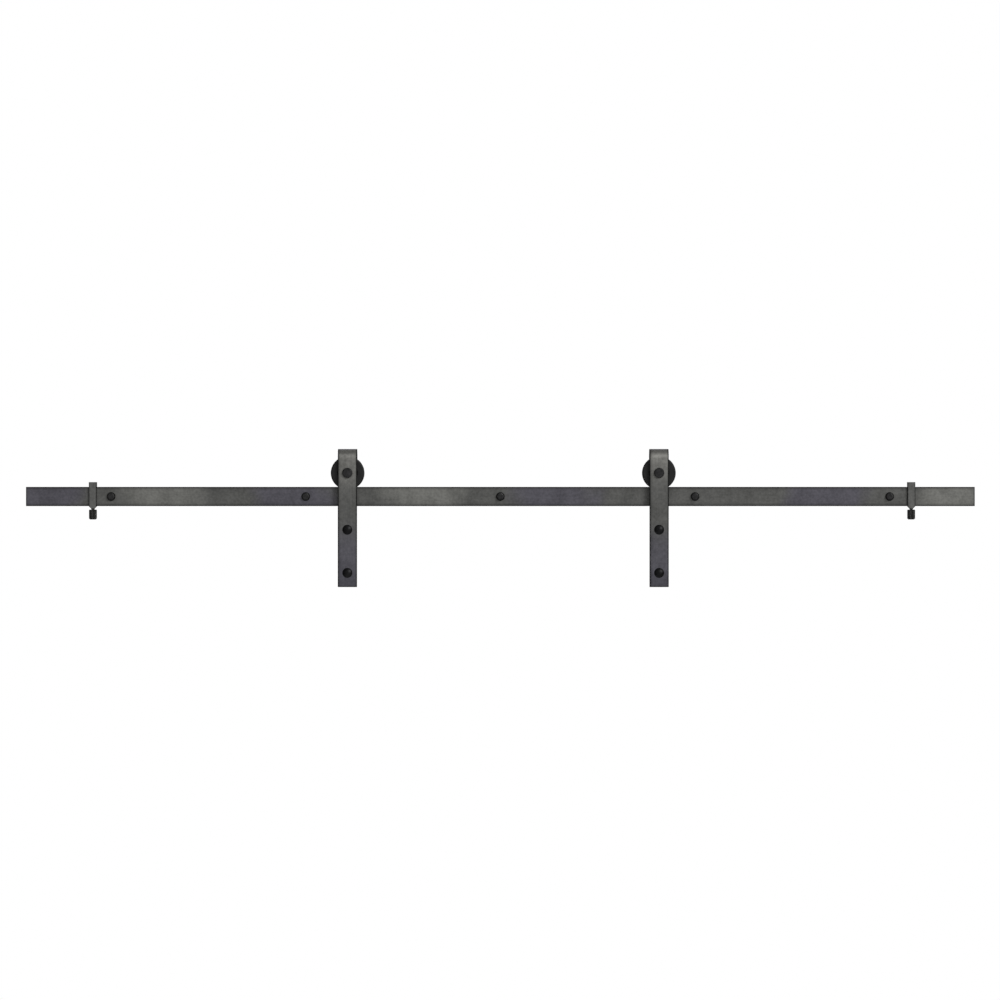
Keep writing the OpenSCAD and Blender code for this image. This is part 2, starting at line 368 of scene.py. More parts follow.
def dress(tree, shader, colour=None, roughness=None, height=None, depth=0.05 * mm, strength=0.5):
    if colour:
        tree.links.new(colour, shader.inputs["Base Color"])
    if roughness:
        tree.links.new(roughness, shader.inputs["Roughness"])
    if height:
        bump = add(tree, "Bump", {"Strength": strength, "Distance": depth, "Height": height})
        tree.links.new(bump.outputs[0], shader.inputs["Normal"])


def patches(tree, place, axis, centres, core, rim):  # soft patches at a few places along an axis
    total = 0.0
    for centre in centres:
        off = calc(tree, "ABSOLUTE", calc(tree, "SUBTRACT", along(tree, place, axis), centre))
        total = calc(tree, "ADD", total, spread(tree, off, core, rim, 1, 0))
    return total


skin = {"metallic": 0.9, "roughness": 0.5, "grazing": 0.35, "smoothest": 0.42, "roughest": 0.56,
        "clouds": 28, "cloudTone": 0.09, "streaks": 500, "streakTone": 0.05, "streakDepth": 0.5,
        "specks": 1600, "speckTone": 0.04, "mottle": 190, "mottleTone": 0.13,
        "pits": 420, "pitTone": 0.86, "pitDepth": 0.7, "depth": 0.03 * mm}


def rolledSteel(name):
    return startMaterial(name, skin["metallic"], skin["roughness"], grazing=skin["grazing"])


def rolledSkin(tree, shader, place, colour, stretch):
    # what every raw bar shares: clouds of scale, fine rolling streaks, specks, mottling and a few pits
    clouds = noise(tree, place, skin["clouds"], detail=5)
    streaks = noise(tree, place, skin["streaks"], stretch, detail=3)
    specks = noise(tree, place, skin["specks"], detail=2)
    mottle = noise(tree, place, skin["mottle"], detail=5, rough=0.6)
    pits = spread(tree, noise(tree, place, skin["pits"], detail=3, rough=0.7), 0.30, 0.42)
    tone = 1.0
    for pattern, low, high, amount in ((clouds, 0.3, 0.7, skin["cloudTone"]),
                                       (streaks, 0.3, 0.7, skin["streakTone"]),
                                       (specks, 0.3, 0.7, skin["speckTone"]),
                                       (mottle, 0.32, 0.68, skin["mottleTone"])):
        tone = calc(tree, "ADD", tone, spread(tree, pattern, low, high, -amount, amount))
    tone = calc(tree, "MULTIPLY", tone, spread(tree, pits, 0, 1, skin["pitTone"], 1))
    toned = add(tree, "VectorMath", {0: colour, "Scale": tone}, operation="SCALE").outputs[0]
    height = calc(tree, "ADD", calc(tree, "MULTIPLY", streaks, skin["streakDepth"]),
                  calc(tree, "MULTIPLY", pits, skin["pitDepth"]))
    roughness = spread(tree, clouds, 0.25, 0.75, skin["smoothest"], skin["roughest"])
    dress(tree, shader, toned, roughness, height, skin["depth"])


# plain, bright and blue tone the bar along its length; dark is painted shade along its edges and ends
bar = {"edge": 0.8 * mm, "hole": 4.5 * mm, "chamfer": 0.4 * mm, "rim": 1.0 * mm, "rimBand": 2.8 * mm,
       "shadeBand": 8 * mm, "shade": 0.45,
       "plain": (0.098, 0.098, 0.094), "bright": (0.156, 0.156, 0.146), "blue": (0.089, 0.086, 0.100),
       "dark": (0.008, 0.008, 0.008),
       "brightAt": (-0.71, -0.165, 0.935), "brightCore": 45 * mm, "brightRim": 95 * mm,
       "blueAt": (-0.98, -0.435, 0.125, 0.684), "blueCore": 55 * mm, "blueRim": 105 * mm,
       "wander": 30 * mm, "wanderScale": 9}
boltPlaces = [middle(f"rail_spacer_{i}").x for i in range(1, 6)]


def railSteel():
    material, tree, shader = rolledSteel("rail_steel_rolled")
    place = objectPlace(tree)
    wander = noise(tree, place, bar["wanderScale"], detail=3)
    wander = spread(tree, wander, 0.2, 0.8, -bar["wander"], bar["wander"])
    sideways = add(tree, "CombineXYZ", {0: wander}).outputs[0]
    moved = add(tree, "VectorMath", {0: place, 1: sideways}, operation="ADD").outputs[0]
    bright = patches(tree, moved, 0, bar["brightAt"], bar["brightCore"], bar["brightRim"])
    blue = patches(tree, moved, 0, bar["blueAt"], bar["blueCore"], bar["blueRim"])
    colour = blend(tree, bright, bar["plain"], bar["bright"])
    colour = blend(tree, blue, colour, bar["blue"])
    low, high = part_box("track_rail")
    shade = nearEdge(tree, place, 2, low.z, high.z, 0, bar["shadeBand"], bar["shadeBand"])
    colour = blend(tree, calc(tree, "MULTIPLY", shade, bar["shade"]), colour, bar["dark"])
    # painted shade: a dark rim along the top and bottom edges and at both ends
    rim = nearEdge(tree, place, 2, low.z, high.z, bar["rim"], bar["rimBand"], bar["rimBand"])
    ends = nearEdge(tree, place, 0, low.x, high.x, bar["rim"], bar["rimBand"], bar["rimBand"])
    colour = blend(tree, calc(tree, "MAXIMUM", rim, ends), colour, bar["dark"])
    rolledSkin(tree, shader, place, colour, (0.02, 1, 1))
    return material


def makeRail():
    low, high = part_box("track_rail")
    piece = soften(block(low, high), bar["edge"], 3)
    for x in boltPlaces:
        combine(piece, holeTool(x, 0, bar["hole"], bar["chamfer"], low.y, high.y))
    standFor(piece, "track_rail", railSteel())


makeRail()
print("rail made")


spacer = {"radius": 11 * mm, "bore": 4.5 * mm, "edge": 0.6 * mm,
          "colour": (0.12, 0.12, 0.118), "dark": (0.07, 0.07, 0.07)}
turning = {"stain": 90, "specks": 1500, "speckShare": 0.1, "depth": 0.02 * mm, "strength": 0.4}
blacking = {"metallic": 0.75, "roughness": 0.42, "specular": 0.35, "smoothest": 0.36, "roughest": 0.5,
            "mottle": 260, "mottleShare": 0.55, "rubbed": 70, "rubbedShare": 0.45, "grit": 2600,
            "depth": 0.02 * mm}
blacks = {"satin": {"colour": (0.015, 0.0148, 0.0152), "worn": (0.036, 0.0355, 0.036)},
          "flat": {"colour": (0.0035, 0.0035, 0.0037), "worn": (0.008, 0.008, 0.008)},
          "dome": {"colour": (0.0035, 0.0035, 0.004), "worn": (0.0115, 0.0115, 0.012)}}


def turnedMarks(name, centre, axis, colour, dark, metallic=1.0, roughness=0.35, pitch=0.35 * mm,
                specular=0.5):
    # lathe marks run round the axis, so they change with the radius and with the place along it
    material, tree, shader = startMaterial(name, metallic, roughness, specular)
    place = objectPlace(tree)
    if axis == 1:
        radius = distanceFrom(tree, place, centre.x, centre.z)
    else:
        radius = distanceFrom(tree, laidFlat(tree, place), centre.x, centre.y)
    path = calc(tree, "ADD", radius, along(tree, place, axis))
    cut = add(tree, "TexNoise", {"W": calc(tree, "DIVIDE", path, pitch), "Scale": 1.0, "Detail": 3},
              noise_dimensions="1D").outputs["Fac"]
    stain = noise(tree, place, turning["stain"])
    specks = calc(tree, "MULTIPLY", noise(tree, place, turning["specks"], detail=2), turning["speckShare"])
    mixed = calc(tree, "ADD", calc(tree, "MULTIPLY", cut, 0.5), calc(tree, "MULTIPLY", stain, 0.5))
    tone = spread(tree, calc(tree, "ADD", mixed, specks), 0.35, 0.75)
    rough = spread(tree, stain, 0.25, 0.75, roughness - 0.07, roughness + 0.08)
    dress(tree, shader, blend(tree, tone, dark, colour), rough, cut, turning["depth"], turning["strength"])
    return material


def blackOxide(kind):
    look = blacking
    material, tree, shader = startMaterial("black_oxide_" + kind, look["metallic"], look["roughness"],
                                           look["specular"])
    place = objectPlace(tree)
    mottle = noise(tree, place, look["mottle"], detail=5, rough=0.6)
    grit = noise(tree, place, look["grit"], detail=2)
    rubbed = spread(tree, noise(tree, place, look["rubbed"], detail=3), 0.52, 0.72)
    tone = calc(tree, "ADD", spread(tree, mottle, 0.3, 0.7, 0, look["mottleShare"]),
                calc(tree, "MULTIPLY", rubbed, look["rubbedShare"]))
    height = calc(tree, "ADD", calc(tree, "MULTIPLY", grit, 0.5), mottle)
    rough = spread(tree, mottle, 0.3, 0.7, look["smoothest"], look["roughest"])
    colour = blend(tree, tone, blacks[kind]["colour"], blacks[kind]["worn"])
    dress(tree, shader, colour, rough, height, look["depth"])
    return material


def atEachBolt(first):  # the piece at the first wall bolt and its copies at the others
    return [first] + [copyPiece(first, (x - boltPlaces[0], 0, 0)) for x in boltPlaces[1:]]


def makeSpacers():
    front, back = depthOf("rail_spacer_1")
    first = ring(boltPlaces[0], 0, spacer["radius"], spacer["bore"], front, back, spacer["edge"])
    for i, piece in enumerate(atEachBolt(first), 1):
        node = f"rail_spacer_{i}"
        material = turnedMarks(f"spacer_steel_{i}", middle(node), 1, spacer["colour"], spacer["dark"])
        standFor(piece, node, material)


lag = {"flats": 13 * mm, "face": 5.4 * mm, "head": 5.5 * mm, "shank": 3.6 * mm, "crest": 4 * mm,
       "root": 2.8 * mm, "pitch": 2.8 * mm, "threadFrom": 7 * mm, "tip": 6 * mm, "point": 0.5 * mm}


def makeLagBolts(material):
    front, back = depthOf("lag_bolts")
    seat = front + lag["head"]
    x = boltPlaces[0]
    slack = 0.4 * mm
    core = lag["root"] - slack
    threadFrom = lag["threadFrom"]
    runOut = threadFrom + lag["shank"] - core  # the shank slopes at 45 degrees into the thread's core
    bolt = chamferedHex(x, 0, lag["flats"], lag["face"], front, seat)
    shank = lathe([(0, seat - slack), (lag["shank"], seat - slack), (lag["shank"], threadFrom),
                   (core, runOut), (0, runOut)], x, 0, steps=52)
    combine(bolt, shank, "UNION")
    screw = threadRod(x, 0, lag["root"], lag["crest"], lag["pitch"], threadFrom - slack, back, steps=24)
    pointed = lathe([(0, 0), (lag["crest"] + slack, 0), (lag["crest"] + slack, back - lag["tip"] - slack),
                     (lag["point"], back), (0, back)], x, 0, steps=48)
    combine(bolt, combine(screw, pointed, "INTERSECT"), "UNION")
    standFor(joinPieces(atEachBolt(bolt)), "lag_bolts", material)


washer = {"radius": 9 * mm, "bore": 4.5 * mm, "edge": 0.25 * mm}


def makeLagWashers(material):
    front, back = depthOf("lag_washers")
    first = ring(boltPlaces[0], 0, washer["radius"], washer["bore"], front, back, washer["edge"])
    standFor(joinPieces(atEachBolt(first)), "lag_washers", material)


boltBlack = blackOxide("satin")
washerBlack = blackOxide("flat")
makeSpacers()
makeLagBolts(boltBlack)
makeLagWashers(washerBlack)
print("wall fixings made")


# the strap colours from low up to the brightest are painted light along the height, darkest at the foot and
# lightest at the top; dark is painted shade along the edges and the foot
flatBar = {"thick": 6 * mm, "rearDrop": 22 * mm, "edge": 0.7 * mm, "axleHole": 5.3 * mm, "holeEdge": 0.3 * mm,
           "seat": 9 * mm, "seatDepth": 0.5 * mm, "crown": 4 * mm, "square": 8.2 * mm, "bendSteps": 40,
           "crease": 30, "rim": 1.0 * mm, "rimBand": 2.8 * mm, "leftShade": 8 * mm, "rightShade": 4 * mm,
           "shade": 0.4, "wander": 12 * mm, "wanderScale": 14,
           "low": (0.075, 0.073, 0.086), "lowFade": 70 * mm, "blue": (0.089, 0.087, 0.099),
           "plain": (0.098, 0.098, 0.094), "plainFrom": -120 * mm, "plainFull": -40 * mm,
           "litTop": (0.184, 0.182, 0.170), "litTopFrom": 10 * mm, "litTopFull": 85 * mm,
           "dark": (0.008, 0.008, 0.008)}
axleZ = middle("wheel_left").z
midY = middle("wheel_left").y


def doorBoltHeights():  # the upper and the lower, from their round washers
    low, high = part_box("door_washers_left")
    radius = (high.x - low.x) / 2
    return high.z - radius, low.z + radius


def strapSteel(side):
    material, tree, shader = rolledSteel("strap_steel_" + side)
    place = objectPlace(tree)
    low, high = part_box("strap_" + side)
    upright = along(tree, place, 2)
    wander = noise(tree, place, flatBar["wanderScale"], detail=3)
    wander = spread(tree, wander, 0.2, 0.8, -flatBar["wander"], flatBar["wander"])
    height = calc(tree, "ADD", upright, wander)
    # painted light: the strap darkens, with a bluish tint, towards its foot and lightens towards its top
    colour = flatBar["low"]
    for start, full, above in ((low.z, low.z + flatBar["lowFade"], "blue"),
                               (flatBar["plainFrom"], flatBar["plainFull"], "plain"),
                               (flatBar["litTopFrom"], flatBar["litTopFull"], "litTop")):
        colour = blend(tree, spread(tree, height, start, full), colour, flatBar[above])
    # painted shade: the crown of the bend darkens to the foot's colour
    crown = spread(tree, upright, high.z - flatBar["crown"], high.z)
    colour = blend(tree, crown, colour, flatBar["low"])
    # painted shade: a soft dark band along both edges, wider on the left, then a dark rim along both edges
    # and the foot
    shade = nearEdge(tree, place, 0, low.x, high.x, 0, flatBar["leftShade"], flatBar["rightShade"])
    colour = blend(tree, calc(tree, "MULTIPLY", shade, flatBar["shade"]), colour, flatBar["dark"])
    rim = nearEdge(tree, place, 0, low.x, high.x, flatBar["rim"], flatBar["rimBand"], flatBar["rimBand"])
    foot = spread(tree, upright, low.z + flatBar["rim"], low.z + flatBar["rimBand"], 1, 0)
    colour = blend(tree, calc(tree, "MAXIMUM", rim, foot), colour, flatBar["dark"])
    rolledSkin(tree, shader, place, colour, (1, 1, 0.02))
    return material


def makeStraps():
    low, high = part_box("strap_left")
    x = (low.x + high.x) / 2
    thick = flatBar["thick"]
    bendZ = high.z - (high.y - low.y) / 2
    legEnd = axleZ - flatBar["rearDrop"]
    piece = block(low, (high.x, low.y + thick, bendZ))
    edit(piece)
    pick(piece, "FACE", lambda face: face.normal.z > 0.9)
    bpy.ops.mesh.spin(steps=flatBar["bendSteps"], angle=math.pi, center=(x, midY, bendZ), axis=(1, 0, 0))
    bpy.ops.mesh.extrude_region_move(TRANSFORM_OT_translate={"value": (0, 0, legEnd - bendZ)})
    # no face may stay inside the bar where the bend starts or ends
    pick(piece, "FACE", lambda face: abs(face.normal.z) > 0.9
         and abs(face.calc_center_median().z - bendZ) < mm)
    bpy.ops.mesh.delete(type="ONLY_FACE")
    cleanMesh()
    endEdit()
    soften(piece, flatBar["edge"], 3)
    for front, back in ((low.y, low.y + thick), (high.y - thick, high.y)):
        combine(piece, holeTool(x, axleZ, flatBar["axleHole"], flatBar["holeEdge"], front, back))
    seatBack = low.y + thick
    seatFront = seatBack - flatBar["seatDepth"]
    combine(piece, lathe([(0, seatFront), (flatBar["seat"], seatFront), (flatBar["seat"], seatBack + over),
                          (0, seatBack + over)], x, axleZ))
    half = flatBar["square"] / 2
    for z in doorBoltHeights():
        combine(piece, block((x - half, low.y - over, z - half), (x + half, seatBack + over, z + half)))
    for node, side, made in onBothSides({"strap": piece}, sideShift("strap")):
        standFor(made, f"{node}_{side}", strapSteel(side), flatBar["crease"])


makeStraps()
print("straps made")


wheelShape = {"lip": 11.5 * mm, "seat": 13 * mm, "dish": 19 * mm, "slope": 2 * mm, "hubHalf": 7 * mm,
              "flange": 2 * mm, "floorHalf": 3.8 * mm, "mouthHalf": 5.2 * mm, "groove": 6 * mm,
              "raceHalf": 4 * mm, "edge": 0.5 * mm, "metallic": 0.0, "roughness": 0.45, "pitch": 0.5 * mm,
              "specular": 0.25, "colour": (0.0068, 0.0066, 0.0068), "dark": (0.0032, 0.0032, 0.0034)}
bearing = {"bore": 5.05 * mm, "inner": 7.4 * mm, "outer": 10.6 * mm, "pitch": 9 * mm, "track": 2.43 * mm,
           "shieldFrom": 7.7 * mm, "shield": 0.4 * mm, "shieldEdge": 0.075 * mm, "edge": 0.3 * mm,
           "half": 4 * mm, "smear": 240, "lines": 2400, "depth": 0.005 * mm, "strength": 0.3,
           "smoothest": 0.16, "roughest": 0.3, "steel": (0.62, 0.62, 0.63), "dull": (0.45, 0.45, 0.46)}


def bearingSteel():
    material, tree, shader = startMaterial("bearing_steel_ground", 1.0, 0.2)
    place = objectPlace(tree)
    smear = noise(tree, place, bearing["smear"])
    lines = noise(tree, place, bearing["lines"], (1, 0.1, 1), detail=2)
    colour = blend(tree, spread(tree, smear, 0.3, 0.7), bearing["dull"], bearing["steel"])
    rough = spread(tree, smear, 0.3, 0.7, bearing["roughest"], bearing["smoothest"])
    dress(tree, shader, colour, rough, lines, bearing["depth"], bearing["strength"])
    return material


def wheelOutline(radius):
    front, back = depthOf("wheel_left")
    half = (back - front) / 2
    shape = wheelShape
    dishTop = shape["dish"] + shape["slope"]
    frontHalf = [(shape["lip"], -shape["hubHalf"]), (shape["dish"], -shape["hubHalf"]), (dishTop, -half),
                 (radius - shape["flange"], -half), (radius, shape["flange"] - half),
                 (radius, -shape["mouthHalf"]), (radius - shape["groove"], -shape["floorHalf"])]
    backHalf = [(r, -a) for r, a in reversed(frontHalf[1:])]
    bore = [(shape["seat"], shape["hubHalf"]), (shape["seat"], -shape["raceHalf"]),
            (shape["lip"], -shape["raceHalf"])]
    return [(r, a + midY) for r, a in frontHalf + backHalf + bore]


def raceRing(x, inner, outer, grooveOutside):
    # the raceway is an arc cut into the side that the balls run on
    half, edge, track = bearing["half"], bearing["edge"], bearing["track"]
    wall = outer if grooveOutside else inner
    reach = math.sqrt(track ** 2 - (bearing["pitch"] - wall) ** 2)
    angle = math.degrees(math.asin(reach / track))
    towards = 270 if grooveOutside else 90
    sweep = arc(bearing["pitch"], 0, track, towards + angle, towards - angle, 10)
    outerSide = [(outer, edge - half), (outer, half - edge)]
    innerSide = [(inner, half - edge), (inner, edge - half)]
    grooved = outerSide if grooveOutside else innerSide
    grooved[1:1] = sweep
    outline = [(inner + edge, -half), (outer - edge, -half)] + outerSide + [
        (outer - edge, half), (inner + edge, half)] + innerSide
    return lathe([(r, a + midY) for r, a in outline], x, axleZ)


def bearingShields(x):
    thick = bearing["shield"]
    fronts = (midY - bearing["half"], midY + bearing["half"] - thick)
    return joinPieces([ring(x, axleZ, bearing["outer"], bearing["shieldFrom"], front, front + thick,
                            bearing["shieldEdge"]) for front in fronts])


def wheelMaterial(node, side):
    centre = middle("wheel_" + side)
    if node == "wheel":
        return turnedMarks("black_nylon_" + side, centre, 1, wheelShape["colour"], wheelShape["dark"],
                           wheelShape["metallic"], wheelShape["roughness"], wheelShape["pitch"],
                           wheelShape["specular"])
    if node == "bearing_shields":
        return turnedMarks("shield_steel_" + side, centre, 1, bearing["steel"], bearing["dull"])
    return groundSteel


def makeWheels():
    x = middle("wheel_left").x
    low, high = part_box("wheel_left")
    outline = wheelOutline((high.z - low.z) / 2)
    pieces = {"wheel": soften(lathe(outline, x, axleZ, steps=128), wheelShape["edge"], 3, 20),
              "bearing_inner_race": raceRing(x, bearing["bore"], bearing["inner"], True),
              "bearing_outer_race": raceRing(x, bearing["outer"], wheelShape["seat"], False),
              "bearing_shields": bearingShields(x)}
    for node, side, made in onBothSides(pieces, sideShift("wheel")):
        standFor(made, f"{node}_{side}", wheelMaterial(node, side))


groundSteel = bearingSteel()
makeWheels()
for sideName in sideNames:  # the balls and their cages keep the shape they came with
    for inside in ("bearing_balls_", "bearing_cage_"):
        kept = frame["nodes"][inside + sideName]
        kept.data.materials.clear()
        kept.data.materials.append(groundSteel)
print("wheels made")


axle = {"head": 10.5 * mm, "headDepth": 5 * mm, "bevel": 1.5 * mm, "edge": 0.3 * mm, "radius": 5 * mm,
        "crest": 4.9 * mm, "root": 4.1 * mm, "pitch": 1.5 * mm, "washer": 10 * mm, "washerBore": 5.3 * mm,
        "washerEdge": 0.3 * mm, "nutFlats": 16 * mm, "nutBore": 4.55 * mm, "bush": 7 * mm,
        "bushEdge": 0.4 * mm}
nut = {"faceDrop": 0.15 * mm, "chamfer": 0.5 * mm}
brightTurned = {"colour": (0.50, 0.50, 0.505), "dark": (0.34, 0.34, 0.345)}


def makeNut(x, z, flats, bore, front, back):
    hexagon = chamferedHex(x, z, flats, flats / 2 - nut["faceDrop"], front, back, both=True)
    return combine(hexagon, holeTool(x, z, bore, nut["chamfer"], front, back))


def makeAxleBolt(x):
    front, back = depthOf("axle_bolt_left")
    seat = front + axle["headDepth"]
    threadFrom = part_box("strap_left")[1].y
    edge, bevel = axle["edge"], axle["bevel"]
    bolt = lathe([(0, front), (axle["head"] - bevel, front), (axle["head"], front + bevel),
                  (axle["head"], seat - edge), (axle["head"] - edge, seat), (axle["radius"], seat),
                  (axle["radius"], threadFrom - bevel), (axle["root"], threadFrom), (0, threadFrom)],
                 x, axleZ)
    soften(bolt, edge, 2, 25)
    return combine(bolt, threadedEnd(x, axleZ, axle, threadFrom - over, back), "UNION")


def axleMaterial(node, side):
    if node == "axle_washer":
        return washerBlack
    if node.endswith("bush"):
        return turnedMarks(f"{node}_steel_{side}", middle("wheel_" + side), 1, **brightTurned)
    return boltBlack


def makeAxles():
    x = middle("axle_bolt_left").x
    front, back = depthOf("axle_washer_left")
    pieces = {"axle_bolt": makeAxleBolt(x),
              "axle_washer": ring(x, axleZ, axle["washer"], axle["washerBore"], front, back,
                                  axle["washerEdge"]),
              "axle_nut": makeNut(x, axleZ, axle["nutFlats"], axle["nutBore"], *depthOf("axle_nut_left"))}
    for bush in ("front_bush", "rear_bush"):
        front, back = depthOf(bush + "_left")
        pieces[bush] = ring(x, axleZ, axle["bush"], bearing["bore"], front, back, axle["bushEdge"])
    for node, side, made in onBothSides(pieces, sideShift("axle_bolt")):
        standFor(made, f"{node}_{side}", axleMaterial(node, side))


makeAxles()
print("axles made")


doorBolt = {"dome": 10.3 * mm, "domeDepth": 4.65 * mm, "rim": 0.5 * mm, "neck": 8 * mm, "neckDepth": 5 * mm,
            "neckEdge": 0.5 * mm, "shank": 3.6 * mm, "crest": 4 * mm, "root": 3.35 * mm, "pitch": 1.25 * mm,
            "threadFrom": -26 * mm, "washer": 12 * mm, "washerBore": 4.05 * mm, "washerEdge": 0.3 * mm,
            "nutFlats": 13 * mm, "nutBore": 3.65 * mm}
domeBlack = blackOxide("dome")


def makeDoorBolt(x, z, front, back):
    shape = doorBolt
    seat = front + shape["domeDepth"]
    crown = shape["domeDepth"] - shape["rim"]
    ballRadius = (crown ** 2 + shape["dome"] ** 2) / (2 * crown)
    reach = math.degrees(math.asin(shape["dome"] / ballRadius))
    top = arc(0, front + ballRadius, ballRadius, 0, reach, 20)
    top[0] = (0, front)
    bolt = lathe(top + [(shape["dome"], seat), (0, seat)], x, z)
    half, overlap = shape["neck"] / 2, 0.3 * mm
    neck = block((x - half, seat - overlap, z - half), (x + half, seat + shape["neckDepth"], z + half))
    combine(bolt, soften(neck, shape["neckEdge"]), "UNION")
    threadFrom = shape["threadFrom"]
    shank = lathe([(0, seat + overlap), (shape["shank"], seat + overlap), (shape["shank"], threadFrom),
                   (0, threadFrom + overlap)], x, z, steps=48)
    combine(bolt, shank, "UNION")
    return combine(bolt, threadedEnd(x, z, shape, threadFrom - overlap, back), "UNION")


def makeDoorFixings():
    x = middle("door_bolts_left").x
    upper, lower = doorBoltHeights()
    front, back = depthOf("door_washers_left")
    pairs = {
        "door_bolts": makeDoorBolt(x, upper, *depthOf("door_bolts_left")),
        "door_washers": ring(x, upper, doorBolt["washer"], doorBolt["washerBore"], front, back,
                             doorBolt["washerEdge"]),
        "door_nuts": makeNut(x, upper, doorBolt["nutFlats"], doorBolt["nutBore"], *depthOf("door_nuts_left"))}
    for piece in pairs.values():
        joinPieces([piece, copyPiece(piece, (0, 0, lower - upper))])
    materials = {"door_bolts": domeBlack, "door_washers": washerBlack, "door_nuts": boltBlack}
    for node, side, made in onBothSides(pairs, sideShift("door_bolts")):
        standFor(made, f"{node}_{side}", materials[node])


makeDoorFixings()
print("door bolts made")


stop = {"slotFront": 5.8 * mm, "slotWide": 6.4 * mm, "slotTop": 20.2 * mm, "slotFloor": -20.5 * mm,
        "lip": 8 * mm, "neck": 3.9 * mm, "neckHeight": 2.5 * mm, "footSpare": 0.1 * mm, "bevel": 1 * mm,
        "edge": 0.35 * mm, "crease": 35, "screwHole": 2.55 * mm, "rim": 0.6 * mm, "rimBand": 1.8 * mm,
        "colour": (0.107, 0.107, 0.103), "dark": (0.014, 0.014, 0.014)}
knob = {"base": 8.0 * mm, "crest": 0.3 * mm, "topBevel": 0.8 * mm, "footBevel": 2 * mm, "screw": 2.5 * mm,
        "screwDepth": 15 * mm, "columns": 44, "rows": 14, "crease": 22, "grime": 700, "depth": 0.01 * mm,
        "strength": 0.4, "colour": (0.004, 0.004, 0.004), "crestColour": (0.094, 0.094, 0.092)}
thumb = {"root": 2.05 * mm, "crest": 2.5 * mm, "pitch": 0.8 * mm, "bore": 1.05 * mm, "boreDepth": 2.2 * mm}
pad = {"radius": 2.3 * mm, "height": 1.3 * mm, "stem": 1 * mm, "edge": 0.2 * mm,
       "colour": (0.62, 0.42, 0.16), "dark": (0.36, 0.23, 0.09)}


def stopSteel(side):
    material, tree, shader = rolledSteel("stop_steel_" + side)
    place = objectPlace(tree)
    low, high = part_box("stop_body_" + side)
    # painted shade: a dark rim along the left and right edges
    rim = nearEdge(tree, place, 0, low.x, high.x, stop["rim"], stop["rimBand"], stop["rimBand"])
    colour = blend(tree, rim, stop["colour"], stop["dark"])
    rolledSkin(tree, shader, place, colour, (1, 1, 0.04))
    return material


def knurledBlack(side):
    material, tree, shader = startMaterial("knurled_black_" + side, 0.6, 0.42, 0.3)
    place = objectPlace(tree)
    centre = middle("screw_knob_" + side)
    radius = distanceFrom(tree, laidFlat(tree, place), centre.x, centre.y)
    crest = spread(tree, radius, knob["base"], knob["base"] + knob["crest"])
    grime = noise(tree, place, knob["grime"])
    tone = calc(tree, "MULTIPLY", crest, spread(tree, grime, 0.3, 0.7, 0.5, 1))
    rough = spread(tree, grime, 0.3, 0.7, 0.36, 0.5)
    dress(tree, shader, blend(tree, tone, knob["colour"], knob["crestColour"]), rough, grime,
          knob["depth"], knob["strength"])
    return material


def stopMaterial(node, side):
    centre = middle("screw_knob_" + side)
    if node == "stop_body":
        return stopSteel(side)
    if node == "screw_knob":
        return knurledBlack(side)
    if node == "thumb_screw":
        return turnedMarks("thumb_steel_" + side, centre, 2, **brightTurned)
    return turnedMarks("pad_brass_" + side, centre, 2, pad["colour"], pad["dark"])


def makeStopBody(x):
    low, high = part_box("stop_body_left")
    foot = low.z + stop["neckHeight"]
    half = (high.x - low.x) / 2
    slotFront = low.y + stop["slotFront"]
    slotBack = slotFront + stop["slotWide"]
    piece = block((low.x, low.y, foot), high)
    edit(piece)
    # the two lower side edges are cut off towards the neck, then the two front edges are bevelled
    pick(piece, "EDGE", lambda edge: all(abs(v.co.z - foot) < mergeGap for v in edge.verts)
         and abs(edge.verts[0].co.x - edge.verts[1].co.x) < mergeGap)
    bpy.ops.mesh.bevel(offset=half - stop["neck"] - stop["footSpare"], segments=1)
    pick(piece, "EDGE", lambda edge: all(abs(v.co.y - low.y) < mergeGap for v in edge.verts)
         and all(abs(abs(v.co.x - x) - half) < mergeGap for v in edge.verts))
    bpy.ops.mesh.bevel(offset=stop["bevel"], segments=1)
    endEdit()
    left, right = low.x - over, high.x + over
    combine(piece, block((left, slotFront, stop["slotFloor"]), (right, slotBack, stop["slotTop"])))
    combine(piece, block((left, slotBack - over, stop["slotFloor"]), (right, high.y + over, stop["lip"])))
    neck = lathe([(0, low.z), (stop["neck"] - stop["edge"], low.z), (stop["neck"], low.z + stop["edge"]),
                  (stop["neck"], foot + over), (0, foot + over)], x, midY, "Z", 64)
    combine(piece, neck, "UNION")
    holeTop = (stop["slotFloor"] + stop["slotTop"]) / 2  # anywhere inside the slot
    hole = lathe([(0, low.z - over), (stop["screwHole"] + over + stop["edge"], low.z - over),
                  (stop["screwHole"], low.z + stop["edge"]), (stop["screwHole"], holeTop), (0, holeTop)],
                 x, midY, "Z", 64)
    combine(piece, hole)
    return soften(piece, stop["edge"], 2, 40)


